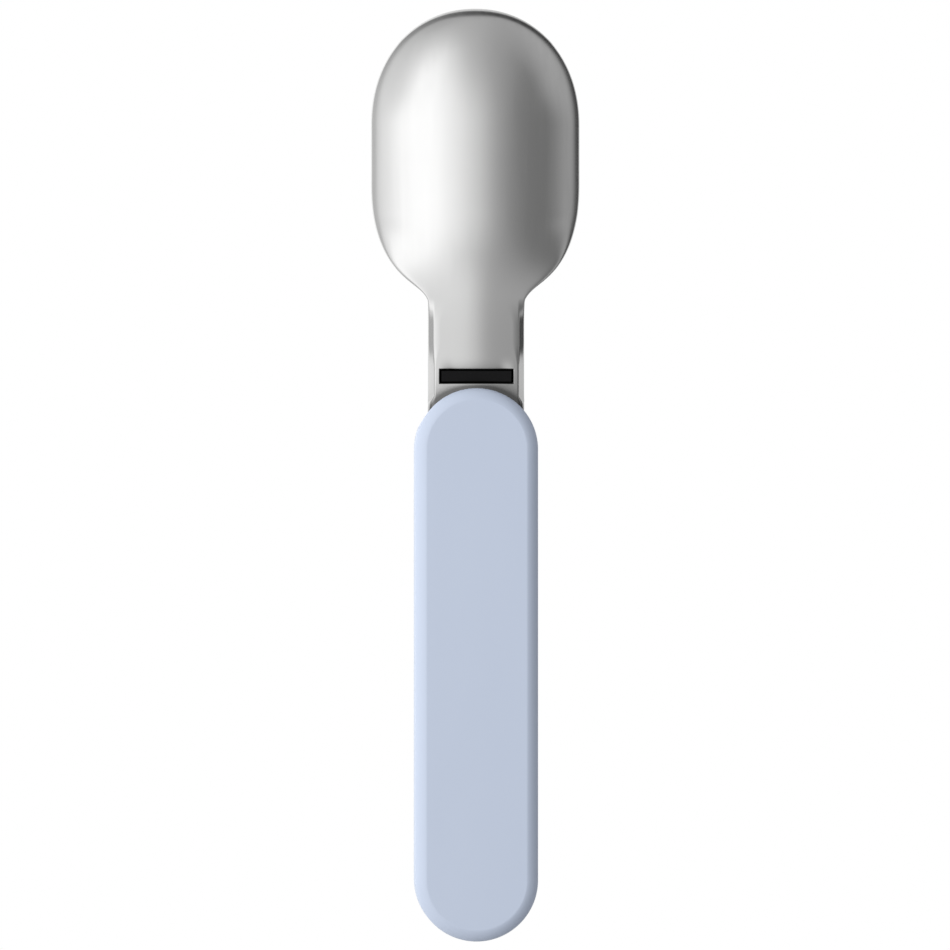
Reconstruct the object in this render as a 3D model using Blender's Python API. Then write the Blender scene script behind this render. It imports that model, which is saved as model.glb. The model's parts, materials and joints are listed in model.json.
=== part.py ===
"""Folding spoon: a pressed steel head that folds over a two-part moulded handle.

Metres, +Z up. The spoon lies on its back at z = 0 with the hollow of the bowl facing up,
its length along Y and the bowl's tip at +Y. The origin is under the middle of its length.
"""
import bpy
import bmesh
from math import acos, atan, atan2, cos, hypot, pi, radians, sin, sqrt

MM = 0.001

# Fits
SEAT_GAP = 0.3 * MM          # between faces that seat on each other
SIDE_CLEARANCE = 0.35 * MM   # neck edge to handle wall
PIN_FIT = 0.15 * MM          # round the pin, in seats and bores
FOLD_CLEARANCE = 0.4 * MM    # folded neck over the handle's front

# Handle
HANDLE_LENGTH = 93.6 * MM
BACK_WALL = 1.5 * MM
SIDE_WALL = 1.9 * MM
BACK_EDGE_RADIUS = 2.1 * MM
COVER_PLATE = 1.4 * MM
FRONT_EDGE_RADIUS = 1.0 * MM
TONGUE_DEPTH = 1.0 * MM      # rim under the cover, inside the shell's walls
TONGUE_WALL = 1.0 * MM
HORN_WIDTH = 0.5 * MM        # wall thickness at which the side walls stop beside the neck
NOTCH_CLEARANCE = 0.5 * MM   # folded ear to the cover's notch
NOTCH_CORNER = 2.0 * MM

# Bowl and neck
SHEET = 1.0 * MM
BOWL_WIDTH = 35.3 * MM
BOWL_SPAN = 15.4 * MM        # between the centres of the bowl's end arcs
BOWL_DEPTH = 6.4 * MM        # underside to rim
SIDE_LIP = 0.02              # share of the depth that comes in the rim's turned-up edge
TIP_LIP = 0.05               # the same at the bowl's tip
NECK_LENGTH = 31.35 * MM     # handle's tip to the centre of the bowl's near arc
NECK_WIDTH = 16.3 * MM
NECK_FILLET = 2.7 * MM       # in the corner between bowl and neck
NECK_CROWN = 0.7 * MM        # bulge of the neck's back
NECK_EDGE_RADIUS = 1.3 * MM  # outside radius of the turned edges
NECK_EDGE = 0.4 * MM         # straight height of the turned edges above their bend
HEEL_RISE = 0.8 * MM         # edges above the neck's middle where the bowl begins
HEEL_LENGTH = 16.0 * MM      # along which the neck's back goes down to the bowl's floor
CHANNEL_FORM = 10.6 * MM     # along which the neck's edges turn up

# Window in the neck
WINDOW_WIDTH = 12.5 * MM
WINDOW_LENGTH = 2.45 * MM
WINDOW_OFFSET = 2.0 * MM     # handle's tip to the window's middle
RIB_RECESS = 0.35 * MM       # knuckle's rib below the neck's back

# Hinge
PIVOT_INSET = 7.6 * MM       # handle's tip to the hinge axis
PIN_DIAMETER = 1.6 * MM
PIN_SKIN = 1.0 * MM          # wall left outside the pin's ends
PIN_CHAMFER = 0.2 * MM
EAR_RADIUS = 1.75 * MM
EAR_RECESS = 0.05 * MM       # ears and barrel below the handle's front
EAR_BLEND = 0.05 * MM        # depth at which the ear's front edge cuts its round end
EAR_EDGE_ANGLE = radians(45)
SHEET_END = 1.5 * MM         # end of the neck's back, in front of the axis
BARREL_FLAT = 1.5 * MM       # axis to the barrel's two flats
KNUCKLE_PLATE = 0.8 * MM
KNUCKLE_OVERLAP = 1.2 * MM   # knuckle's plate past the window
KNUCKLE_HEEL = 0.8 * MM      # back of the plate's underside, in front of the axis
SPRING_GAP = 0.35 * MM       # leaf to the barrel's flat
SPRING_LEAF = 0.5 * MM
SPRING_BOW = 0.4 * MM
POST_WIDTH = 3.5 * MM
POST_LENGTH = 2.0 * MM

# Facets
ARC_STEPS = 12               # per quarter turn of a large arc
SMALL_STEPS = 5              # per quarter turn of a fillet
PIN_STEPS = 24
HALF_ACROSS = 14             # columns from the head's middle to its edge
END_ROWS = 9                 # rows in the bowl's round end

# Heights, from the table up: the handle is as thick as its hinge needs
NECK_Z = BACK_WALL + SEAT_GAP
EDGE_Z = NECK_Z + NECK_CROWN + NECK_EDGE_RADIUS + NECK_EDGE
PLATE_Z = NECK_Z + SHEET + NECK_CROWN + SEAT_GAP
PLATE_TOP_Z = PLATE_Z + KNUCKLE_PLATE
FRONT_OVER_AXIS = EAR_RADIUS + EAR_RECESS
PIVOT_Z = max(EDGE_Z, PLATE_TOP_Z) + FOLD_CLEARANCE + FRONT_OVER_AXIS
HANDLE_THICKNESS = PIVOT_Z + FRONT_OVER_AXIS
COVER_Z = HANDLE_THICKNESS - COVER_PLATE
SPLIT_Z = COVER_Z - SEAT_GAP

# Widths, from the middle out
NECK_HALF = NECK_WIDTH / 2
BAY_HALF = NECK_HALF + SIDE_CLEARANCE
HANDLE_HALF = BAY_HALF + SIDE_WALL
PIN_HALF = HANDLE_HALF - PIN_SKIN
PIN_RADIUS = PIN_DIAMETER / 2
KNUCKLE_HALF = NECK_HALF - SHEET - SEAT_GAP

# Places along the length
BOWL_RADIUS = BOWL_WIDTH / 2
LENGTH = HANDLE_LENGTH + NECK_LENGTH + BOWL_SPAN + BOWL_RADIUS
HANDLE_END_Y = -LENGTH / 2
HANDLE_TIP_Y = HANDLE_END_Y + HANDLE_LENGTH
NEAR_ARC_Y = HANDLE_TIP_Y + NECK_LENGTH
FAR_ARC_Y = NEAR_ARC_Y + BOWL_SPAN
PIVOT_Y = HANDLE_TIP_Y - PIVOT_INSET
WINDOW_Y = HANDLE_TIP_Y + WINDOW_OFFSET
PLATE_END_Y = WINDOW_Y + WINDOW_LENGTH / 2 + KNUCKLE_OVERLAP
CORNER_X = NECK_HALF + NECK_FILLET
CORNER_Y = NEAR_ARC_Y - sqrt((BOWL_RADIUS + NECK_FILLET) ** 2 - CORNER_X ** 2)
FILLET_END_Y = NEAR_ARC_Y + (CORNER_Y - NEAR_ARC_Y) * BOWL_RADIUS / (BOWL_RADIUS + NECK_FILLET)
CHANNEL_Y = CORNER_Y - CHANNEL_FORM
EAR_EDGE_DISTANCE = EAR_RADIUS - EAR_BLEND
EAR_FOOT_Y = PIVOT_Y + (EAR_EDGE_DISTANCE - (EDGE_Z - PIVOT_Z) * cos(EAR_EDGE_ANGLE)) / sin(EAR_EDGE_ANGLE)
HORN_Y = HANDLE_TIP_Y - HANDLE_HALF + sqrt(HANDLE_HALF ** 2 - (BAY_HALF + HORN_WIDTH) ** 2)
NOTCH_Y = 2 * PIVOT_Y - EAR_FOOT_Y - NOTCH_CLEARANCE
SPRING_Y = PIVOT_Y - BARREL_FLAT - SPRING_GAP
POST_Y = SPRING_Y - SPRING_BOW - SPRING_LEAF - SEAT_GAP
BEYOND = 2 * SHEET           # how far cutters run past what they cut


def clear_scene():
    for ob in list(bpy.data.objects):
        bpy.data.objects.remove(ob, do_unlink=True)


def make_material(name, colour, roughness, metallic):
    material = bpy.data.materials.new(name)
    material.use_nodes = True
    shader = material.node_tree.nodes["Principled BSDF"]
    shader.inputs["Base Color"].default_value = (*colour, 1.0)
    shader.inputs["Roughness"].default_value = roughness
    shader.inputs["Metallic"].default_value = metallic
    material.diffuse_color = (*colour, 1.0)
    return material


def add_object(name, bm, parent=None):
    """Make an object of the mesh, whose points are in world space. A parent sits on the hinge axis."""
    bmesh.ops.recalc_face_normals(bm, faces=bm.faces)
    mesh = bpy.data.meshes.new(name)
    bm.to_mesh(mesh)
    bm.free()
    ob = bpy.data.objects.new(name, mesh)
    bpy.context.scene.collection.objects.link(ob)
    if parent:
        ob.parent = parent
        ob.location = -parent.location
    return ob


def finish(ob, material):
    ob.data.materials.append(material)
    ob.data.shade_smooth()
    ob.data.set_sharp_from_angle(angle=radians(35))


def combine(ob, tool, operation):
    """Cut the tool from the object, or join it on, and hide the tool."""
    tool.hide_render = True
    tool.display_type = 'WIRE'
    tool.parent = ob.parent
    tool.location = ob.location
    modifier = ob.modifiers.new(tool.name, 'BOOLEAN')
    modifier.operation = operation
    modifier.solver = 'EXACT'
    modifier.object = tool


def loft(rings):
    """Closed solid through rings of points, with a flat cap at each end."""
    bm = bmesh.new()
    loops = [[bm.verts.new(point) for point in ring] for ring in rings]
    for low, high in zip(loops, loops[1:]):
        for i in range(len(low)):
            j = (i + 1) % len(low)
            bm.faces.new((low[i], low[j], high[j], high[i]))
    bm.faces.new(loops[0])
    bm.faces.new(loops[-1])
    return bm


def upright(outline, z_low, z_high):
    """Prism standing on an outline of (x, y) points."""
    return loft([[(x, y, z) for x, y in outline] for z in (z_low, z_high)])


def crosswise(profile, x_low, x_high):
    """Prism across the handle from a side profile of (y, z) points."""
    return loft([[(x, y, z) for y, z in profile] for x in (x_low, x_high)])


def arc(centre_a, centre_b, radius, start, end, steps):
    """Points on an arc, angles in radians, both ends included."""
    turns = [start + (end - start) * i / steps for i in range(steps + 1)]
    return [(centre_a + radius * cos(turn), centre_b + radius * sin(turn)) for turn in turns]


def rectangle(half, low, high):
    return [(-half, low), (half, low), (half, high), (-half, high)]


def obround(inset):
    """The handle's outline, drawn in by an inset."""
    radius = HANDLE_HALF - inset
    tip = arc(0, HANDLE_TIP_Y - HANDLE_HALF, radius, 0, pi, 2 * ARC_STEPS)
    end = arc(0, HANDLE_END_Y + HANDLE_HALF, radius, pi, 2 * pi, 2 * ARC_STEPS)
    return tip + end


def bay(half, mouth):
    """Outline inside the handle's walls: round at the handle's end, then the points of its mouth."""
    return mouth + arc(0, HANDLE_END_Y + HANDLE_HALF, half, pi, 2 * pi, 2 * ARC_STEPS)


def rounded_slab(flat_z, edge_z, radius):
    """The handle's outline from a flat cut to a face with a rounded edge."""
    toward = 1 if edge_z > flat_z else -1
    rings = [(flat_z, 0.0)]
    for i in range(SMALL_STEPS + 1):
        turn = pi / 2 * i / SMALL_STEPS
        rings.append((edge_z - toward * radius * (1 - sin(turn)), radius * (1 - cos(turn))))
    return loft([[(x, y, z) for x, y in obround(inset)] for z, inset in rings])


def pin_profile(radius, top):
    """Round seat about the hinge axis, open upwards to a height."""
    seat = arc(PIVOT_Y, PIVOT_Z, radius, pi, 2 * pi, PIN_STEPS // 2)
    return seat + [(PIVOT_Y + radius, top), (PIVOT_Y - radius, top)]


def pin_round(radius):
    """Circle about the hinge axis, with flats above and below it."""
    half_step = pi / PIN_STEPS
    return arc(PIVOT_Y, PIVOT_Z, radius, half_step, half_step + 2 * pi, PIN_STEPS)[:-1]


def smooth(low, high, value):
    """0 below low, 1 above high and an even S between."""
    t = min(max((value - low) / (high - low), 0.0), 1.0)
    return t * t * (3 - 2 * t)


def mix(a, b, t):
    return a + (b - a) * t


def head_half_width(y):
    if y >= NEAR_ARC_Y:
        return BOWL_RADIUS
    if y >= FILLET_END_Y:
        return sqrt(BOWL_RADIUS ** 2 - (NEAR_ARC_Y - y) ** 2)
    if y >= CORNER_Y:
        return CORNER_X - sqrt(NECK_FILLET ** 2 - (y - CORNER_Y) ** 2)
    return NECK_HALF


def bowl_rise(u, lip):
    """Share of the rim's height at a share of the half width."""
    return (1 - lip) * u ** 2 + lip * u ** 30


def bowl_point(u, y):
    """Back of the bowl and heel at a share u across."""
    into_bowl = smooth(CORNER_Y, CORNER_Y + HEEL_LENGTH, y)
    floor = mix(NECK_Z, 0.0, into_bowl)
    curve = mix(HEEL_RISE / NECK_HALF ** 2, BOWL_DEPTH / BOWL_RADIUS ** 2, into_bowl)
    half = head_half_width(y)
    return half * u, floor + curve * half ** 2 * bowl_rise(abs(u), SIDE_LIP * into_bowl)


def edge_height(y):
    """Top of the neck's turned edges, which rise into the ears."""
    rise = (EAR_EDGE_DISTANCE - (y - PIVOT_Y) * sin(EAR_EDGE_ANGLE)) / cos(EAR_EDGE_ANGLE)
    return min(max(EDGE_Z, PIVOT_Z + rise), PIVOT_Z + EAR_RADIUS + BEYOND)


def channel_point(u, y):
    """Back of the channel: crowned panel, bend, then upright edge."""
    panel_share, bend_share = 0.6, 0.9
    panel_half = NECK_HALF - NECK_EDGE_RADIUS
    start_turn = atan(2 * NECK_CROWN / panel_half)
    bend_z = NECK_Z + NECK_CROWN + NECK_EDGE_RADIUS * cos(start_turn)
    side = -1 if u < 0 else 1
    share = abs(u)
    if share <= panel_share:
        x = share / panel_share * (panel_half + NECK_EDGE_RADIUS * sin(start_turn))
        return side * x, NECK_Z + NECK_CROWN * (x / panel_half) ** 2
    if share <= bend_share:
        turn = mix(start_turn, pi / 2, (share - panel_share) / (bend_share - panel_share))
        return side * (NECK_HALF - NECK_EDGE_RADIUS * (1 - sin(turn))), bend_z - NECK_EDGE_RADIUS * cos(turn)
    return side * NECK_HALF, mix(bend_z, edge_height(y), (share - bend_share) / (1 - bend_share))


def section_row(y):
    formed = 1 - smooth(CHANNEL_Y, CORNER_Y, y)
    row = []
    for i in range(-HALF_ACROSS, HALF_ACROSS + 1):
        u = i / HALF_ACROSS
        bowl_x, bowl_z = bowl_point(u, y)
        neck_x, neck_z = channel_point(u, y)
        row.append((mix(bowl_x, neck_x, formed), y, mix(bowl_z, neck_z, formed)))
    return row


def end_row(v):
    """Row of the bowl's round end, from its straight side at v = 0 to the tip's rim at v = 1."""
    row = []
    for i in range(-HALF_ACROSS, HALF_ACROSS + 1):
        u = i / HALF_ACROSS
        across = u * sqrt(1 - v * v / 2)
        along = v * sqrt(1 - u * u / 2)
        z = BOWL_DEPTH * bowl_rise(hypot(across, along), mix(SIDE_LIP, TIP_LIP, along ** 4))
        row.append((BOWL_RADIUS * across, FAR_ARC_Y + BOWL_RADIUS * along, z))
    return row


def head_stations():
    """Places along the head, closer together where its outline turns."""
    ys = [PIVOT_Y - EAR_RADIUS - BEYOND]
    ys += [mix(PIVOT_Y, EAR_FOOT_Y, share) for share in (0.1, 0.4, 0.7, 1.0)]
    ys += [mix(EAR_FOOT_Y, CHANNEL_Y, share) for share in (0.5, 1.0)]
    ys += [mix(CHANNEL_Y, CORNER_Y, share) for share in (0.2, 0.4, 0.6, 0.8, 1.0)]
    ys += [mix(CORNER_Y, FILLET_END_Y, share) for share in (0.35, 0.7, 1.0)]
    first_turn = acos((NEAR_ARC_Y - FILLET_END_Y) / BOWL_RADIUS)
    turns = [mix(first_turn, pi / 2, i / ARC_STEPS) for i in range(1, ARC_STEPS + 1)]
    ys += [NEAR_ARC_Y - BOWL_RADIUS * cos(turn) for turn in turns]
    ys += [mix(NEAR_ARC_Y, FAR_ARC_Y, share) for share in (0.25, 0.5, 0.75, 1.0)]
    return ys


def ear_trim():
    """Side profile of what is cut away round the ears' ends and behind the neck's back."""
    corner_y, corner_z = PIVOT_Y + SHEET_END, NECK_Z - SEAT_GAP
    reach = hypot(corner_y - PIVOT_Y, corner_z - PIVOT_Z)
    start = atan2(corner_z - PIVOT_Z, corner_y - PIVOT_Y) - acos(EAR_RADIUS / reach)
    end = EAR_EDGE_ANGLE - 2 * pi
    round_end = arc(PIVOT_Y, PIVOT_Z, EAR_RADIUS, start, end, 2 * ARC_STEPS)
    outer = EAR_RADIUS + 2 * BEYOND
    return ([(corner_y, corner_z)] + round_end
            + [(PIVOT_Y + outer, PIVOT_Z + outer), (PIVOT_Y - outer, PIVOT_Z + outer),
               (PIVOT_Y - outer, NECK_Z - BEYOND), (corner_y, NECK_Z - BEYOND)])


def make_spoon_head(axis):
    rows = [section_row(y) for y in head_stations()]
    rows += [end_row(v / END_ROWS) for v in range(1, END_ROWS + 1)]
    bm = bmesh.new()
    grid = [[bm.verts.new(point) for point in row] for row in rows]
    for low, high in zip(grid, grid[1:]):
        for i in range(len(low) - 1):
            bm.faces.new((low[i], high[i], high[i + 1], low[i + 1]))
    head = add_object("spoon_head", bm, axis)
    if head.data.polygons[0].normal.z > 0:
        head.data.flip_normals()
    wall = head.modifiers.new("sheet", 'SOLIDIFY')
    wall.thickness = SHEET
    wall.offset = -1.0
    wall.use_even_offset = True
    combine(head, add_object("ear_trim", crosswise(ear_trim(), -BAY_HALF, BAY_HALF)), 'DIFFERENCE')
    bore = crosswise(pin_round(PIN_RADIUS + PIN_FIT), -BAY_HALF, BAY_HALF)
    combine(head, add_object("ear_bore", bore), 'DIFFERENCE')
    window = rectangle(WINDOW_WIDTH / 2, WINDOW_Y - WINDOW_LENGTH / 2, WINDOW_Y + WINDOW_LENGTH / 2)
    combine(head, add_object("window", upright(window, NECK_Z - BEYOND, PLATE_TOP_Z)), 'DIFFERENCE')
    finish(head, make_material("polished_steel", (0.72, 0.72, 0.72), 0.22, 1.0))


def make_hinge_knuckle(axis):
    half_turn = acos(BARREL_FLAT / EAR_RADIUS)
    over_top = arc(PIVOT_Y, PIVOT_Z, EAR_RADIUS, half_turn, pi - half_turn, ARC_STEPS)
    under = arc(PIVOT_Y, PIVOT_Z, EAR_RADIUS, pi + half_turn, 1.5 * pi, SMALL_STEPS)
    profile = [(PIVOT_Y + BARREL_FLAT, PLATE_TOP_Z)] + over_top + under
    profile += [(PIVOT_Y + KNUCKLE_HEEL, PLATE_Z), (PLATE_END_Y, PLATE_Z), (PLATE_END_Y, PLATE_TOP_Z)]
    knuckle = add_object("hinge_knuckle", crosswise(profile, -KNUCKLE_HALF, KNUCKLE_HALF), axis)
    rib_half = WINDOW_WIDTH / 2 - SEAT_GAP
    rib_reach = WINDOW_LENGTH / 2 - SEAT_GAP
    rib = rectangle(rib_half, WINDOW_Y - rib_reach, WINDOW_Y + rib_reach)
    rib_top = PLATE_Z + KNUCKLE_PLATE / 2
    combine(knuckle, add_object("window_rib", upright(rib, NECK_Z + RIB_RECESS, rib_top)), 'UNION')
    bore = crosswise(pin_round(PIN_RADIUS + PIN_FIT), -NECK_HALF, NECK_HALF)
    combine(knuckle, add_object("barrel_bore", bore), 'DIFFERENCE')
    finish(knuckle, make_material("black_acetal", (0.012, 0.012, 0.013), 0.45, 0.0))


def make_hinge_pin():
    ends = [(-PIN_HALF, PIN_RADIUS - PIN_CHAMFER), (-PIN_HALF + PIN_CHAMFER, PIN_RADIUS),
            (PIN_HALF - PIN_CHAMFER, PIN_RADIUS), (PIN_HALF, PIN_RADIUS - PIN_CHAMFER)]
    rings = [[(x, y, z) for y, z in pin_round(radius)] for x, radius in ends]
    finish(add_object("hinge_pin", loft(rings)), make_material("pin_steel", (0.55, 0.55, 0.56), 0.3, 1.0))


def make_detent_spring():
    """Leaf across the handle, bowed towards the barrel."""
    steps = [i / ARC_STEPS for i in range(-ARC_STEPS, ARC_STEPS + 1)]
    front = [(KNUCKLE_HALF * step, SPRING_Y - SPRING_BOW * step ** 2) for step in steps]
    back = [(x, y - SPRING_LEAF) for x, y in reversed(front)]
    leaf = add_object("detent_spring", upright(front + back, BACK_WALL + SEAT_GAP, PIVOT_Z))
    finish(leaf, make_material("spring_steel", (0.5, 0.5, 0.5), 0.35, 1.0))


def make_handle_shell(colour):
    shell = add_object("handle_shell", rounded_slab(SPLIT_Z, 0.0, BACK_EDGE_RADIUS))
    past_tip, past_side = HANDLE_TIP_Y + BEYOND, HANDLE_HALF + BEYOND
    mouth = [(BAY_HALF, HORN_Y), (past_side, HORN_Y), (past_side, past_tip),
             (-past_side, past_tip), (-past_side, HORN_Y), (-BAY_HALF, HORN_Y)]
    cavity = upright(bay(BAY_HALF, mouth), BACK_WALL, SPLIT_Z + BEYOND)
    combine(shell, add_object("cavity", cavity), 'DIFFERENCE')
    for side in (-1, 1):
        seat = crosswise(pin_profile(PIN_RADIUS + PIN_FIT, SPLIT_Z + BEYOND),
                         side * (BAY_HALF - SIDE_CLEARANCE), side * (PIN_HALF + PIN_FIT))
        combine(shell, add_object("pin_seat", seat), 'DIFFERENCE')
        inner, outer = BAY_HALF - POST_WIDTH, BAY_HALF + SIDE_WALL / 2
        foot = [(side * inner, POST_Y - POST_LENGTH), (side * outer, POST_Y - POST_LENGTH),
                (side * outer, POST_Y), (side * inner, POST_Y)]
        post = upright(foot, BACK_WALL / 2, PIVOT_Z - SEAT_GAP)
        combine(shell, add_object("spring_post", post), 'UNION')
    finish(shell, make_material("handle_shell_plastic", colour, 0.5, 0.0))


def make_handle_cover(colour):
    edge = min(FRONT_EDGE_RADIUS, COVER_PLATE - PIN_FIT)
    cover = add_object("handle_cover", rounded_slab(COVER_Z, HANDLE_THICKNESS, edge))
    notch = arc(BAY_HALF - NOTCH_CORNER, NOTCH_Y + NOTCH_CORNER, NOTCH_CORNER, -pi / 2, 0, SMALL_STEPS)
    past_tip, past_side = HANDLE_TIP_Y + BEYOND, HANDLE_HALF + BEYOND
    notch += [(BAY_HALF, HORN_Y), (past_side, HORN_Y), (past_side, past_tip)]
    notch += [(-x, y) for x, y in reversed(notch)]
    tongue_half = BAY_HALF - SEAT_GAP
    tongue_y = NOTCH_Y - NOTCH_CORNER
    tongue = bay(tongue_half, [(tongue_half, tongue_y), (-tongue_half, tongue_y)])
    combine(cover, add_object("tongue", upright(tongue, SPLIT_Z - TONGUE_DEPTH, COVER_Z + COVER_PLATE / 2)), 'UNION')
    hollow_half, hollow_y = tongue_half - TONGUE_WALL, tongue_y - TONGUE_WALL
    hollow = bay(hollow_half, [(hollow_half, hollow_y), (-hollow_half, hollow_y)])
    combine(cover, add_object("tongue_hollow", upright(hollow, SPLIT_Z - 2 * TONGUE_DEPTH, COVER_Z)), 'DIFFERENCE')
    combine(cover, add_object("notch", upright(notch, SPLIT_Z - BEYOND, HANDLE_THICKNESS + BEYOND)), 'DIFFERENCE')
    saddle = crosswise(pin_round(PIN_RADIUS + PIN_FIT), -PIN_HALF - PIN_FIT, PIN_HALF + PIN_FIT)
    combine(cover, add_object("pin_saddle", saddle), 'DIFFERENCE')
    finish(cover, make_material("handle_cover_plastic", colour, 0.5, 0.0))


def main():
    clear_scene()
    axis = bpy.data.objects.new("fold_axis", None)
    axis.location = (0.0, PIVOT_Y, PIVOT_Z)
    bpy.context.scene.collection.objects.link(axis)
    handle_colour = (0.49, 0.54, 0.66)
    make_spoon_head(axis)
    make_hinge_knuckle(axis)
    make_hinge_pin()
    make_detent_spring()
    make_handle_shell(handle_colour)
    make_handle_cover(handle_colour)


main()
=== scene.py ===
import json
from math import acos, atan, atan2, cos, cosh, hypot, log, pi, radians, sin, sqrt, tanh
import bpy
import bmesh
import numpy
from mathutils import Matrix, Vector


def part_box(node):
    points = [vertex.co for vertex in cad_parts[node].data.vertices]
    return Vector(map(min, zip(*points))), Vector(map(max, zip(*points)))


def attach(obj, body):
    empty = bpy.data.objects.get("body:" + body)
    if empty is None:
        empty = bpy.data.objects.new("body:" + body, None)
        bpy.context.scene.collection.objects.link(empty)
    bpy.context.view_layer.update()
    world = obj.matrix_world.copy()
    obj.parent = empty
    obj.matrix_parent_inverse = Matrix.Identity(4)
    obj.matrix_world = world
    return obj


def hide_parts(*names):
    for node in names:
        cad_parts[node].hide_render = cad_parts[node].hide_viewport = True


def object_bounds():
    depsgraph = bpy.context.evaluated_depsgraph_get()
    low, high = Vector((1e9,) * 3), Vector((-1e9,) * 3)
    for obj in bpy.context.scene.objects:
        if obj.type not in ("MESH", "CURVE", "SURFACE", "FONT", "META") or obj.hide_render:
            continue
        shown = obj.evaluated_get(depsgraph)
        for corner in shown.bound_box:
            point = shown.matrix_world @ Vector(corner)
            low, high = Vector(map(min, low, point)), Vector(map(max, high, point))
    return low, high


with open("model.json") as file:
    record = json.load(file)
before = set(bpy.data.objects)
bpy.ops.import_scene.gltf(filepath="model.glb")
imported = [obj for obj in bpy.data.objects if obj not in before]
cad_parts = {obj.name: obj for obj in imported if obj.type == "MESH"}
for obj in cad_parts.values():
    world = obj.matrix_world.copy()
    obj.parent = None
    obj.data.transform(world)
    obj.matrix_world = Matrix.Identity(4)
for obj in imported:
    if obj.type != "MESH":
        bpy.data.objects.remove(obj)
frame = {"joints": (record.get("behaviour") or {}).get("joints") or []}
cadLow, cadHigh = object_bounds()
mm = 0.001
tiny = 0.001 * mm                # a length that makes no difference
doubleReach = 0.0001 * mm        # below which two points are one
rounding = 1e-12                 # what rounding may leave of nothing
notZero = 1e-30                  # keeps a division off zero

# places that the frame gives
pivot = Vector(frame["joints"][0]["pos_m"])
shellLow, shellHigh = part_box("handle_shell")
coverLow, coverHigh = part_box("handle_cover")
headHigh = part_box("spoon_head")[1]
springLow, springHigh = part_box("detent_spring")
pinLow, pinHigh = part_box("hinge_pin")
knuckleLow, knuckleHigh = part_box("hinge_knuckle")


def mix(a, b, t):
    return a + (b - a) * t


def ease(low, high, value):
    t = min(max((value - low) / (high - low), 0.0), 1.0)
    return t * t * (3 - 2 * t)


def easeLonger(low, high, value):
    # with a softer start and end, which mirrored light doesn't show
    t = min(max((value - low) / (high - low), 0.0), 1.0)
    return t ** 3 * (10 - 15 * t + 6 * t * t)


def spread(low, high, count):
    return [mix(low, high, (i + 1) / count) for i in range(count)]


def arc(centreA, centreB, radius, start, end, steps):
    turns = [mix(start, end, i / steps) for i in range(steps + 1)]
    return [(centreA + radius * cos(turn), centreB + radius * sin(turn)) for turn in turns]


def oblong(lowX, highX, lowY, highY):
    return [(lowX, lowY), (highX, lowY), (highX, highY), (lowX, highY)]


ringSteps = 48
boreTurn = 0.05                  # keeps a bore's corners off the edges of what it cuts


def ring(radius, turn):
    # points round the hinge axis, as (y, z)
    return arc(pivot.y, pivot.z, radius, turn, turn + 2 * pi, ringSteps)[:-1]


# mesh helpers
bevelAngle = radians(50)         # edges blunter than this stay as they are
bevelSteps = 2


def meshObject(name, bm):
    mesh = bpy.data.meshes.new(name)
    bm.to_mesh(mesh)
    bm.free()
    ob = bpy.data.objects.new(name, mesh)
    bpy.context.scene.collection.objects.link(ob)
    return ob


def settle(ob):
    # turns live modifiers into a plain mesh
    bpy.context.view_layer.update()
    graph = bpy.context.evaluated_depsgraph_get()
    mesh = bpy.data.meshes.new_from_object(ob.evaluated_get(graph), depsgraph=graph)
    ob.modifiers.clear()
    ob.data = mesh
    return ob


def prism(name, outline, low, high, across):
    # outline is (y, z) when it runs across the spoon, else (x, y)
    bm = bmesh.new()
    rings = []
    for level in (low, high):
        points = [(level, a, b) if across else (a, b, level) for a, b in outline]
        rings.append([bm.verts.new(point) for point in points])
    for i in range(len(outline)):
        j = (i + 1) % len(outline)
        bm.faces.new((rings[0][i], rings[0][j], rings[1][j], rings[1][i]))
    bm.faces.new(rings[0])
    bm.faces.new(rings[1])
    bmesh.ops.recalc_face_normals(bm, faces=bm.faces)
    return meshObject(name, bm)


def combine(ob, tool, operation):
    step = ob.modifiers.new(tool.name, 'BOOLEAN')
    step.operation = operation
    step.solver = 'EXACT'
    step.object = tool
    settle(ob)
    bpy.data.objects.remove(tool, do_unlink=True)


def softenEdges(ob, width, steps):
    bevel = ob.modifiers.new("edge", 'BEVEL')
    bevel.width = width
    bevel.segments = steps
    bevel.limit_method = 'ANGLE'
    bevel.angle_limit = bevelAngle
    bevel.miter_outer = 'MITER_ARC'
    settle(ob)


def shade(ob, sharpAngle):
    ob.data.shade_smooth()
    ob.data.set_sharp_from_angle(angle=sharpAngle)
    even = ob.modifiers.new("evenNormals", 'WEIGHTED_NORMAL')
    even.keep_sharp = True
    settle(ob)


def dress(ob, material, body, node):
    ob.data.materials.clear()
    ob.data.materials.append(material)
    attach(ob, body)
    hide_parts(node)
    print("piece", ob.name, "faces", len(ob.data.polygons))


# material helpers
noiseSpan = (0.3, 0.7)           # between which noise mostly lies
paintedCreviceShadeForm = {"samples": 32, "closed": 0.85, "open": 0.98}
evenGrain = (1.0, 1.0, 1.0)


def newMaterial(name):
    material = bpy.data.materials.new(name)
    material.use_nodes = True
    nodes = material.node_tree.nodes
    return material, nodes, material.node_tree.links, nodes["Principled BSDF"]


def sumNode(tree, operation, *values):
    # math node on numbers or on other nodes' outputs
    node = tree.nodes.new("ShaderNodeMath")
    node.operation = operation
    for socket, value in zip(node.inputs, values):
        if isinstance(value, (int, float)):
            socket.default_value = value
        else:
            tree.links.new(value, socket)
    return node.outputs[0]


def grainNoise(nodes, links, stretch, scale, detail):
    # noise on the piece's own coordinates, stretched along an axis
    place = nodes.new("ShaderNodeTexCoord")
    stretched = nodes.new("ShaderNodeMapping")
    stretched.inputs["Scale"].default_value = stretch
    noise = nodes.new("ShaderNodeTexNoise")
    noise.inputs["Scale"].default_value = scale
    noise.inputs["Detail"].default_value = detail
    links.new(place.outputs["Object"], stretched.inputs["Vector"])
    links.new(stretched.outputs["Vector"], noise.inputs["Vector"])
    return noise.outputs["Fac"]


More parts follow.
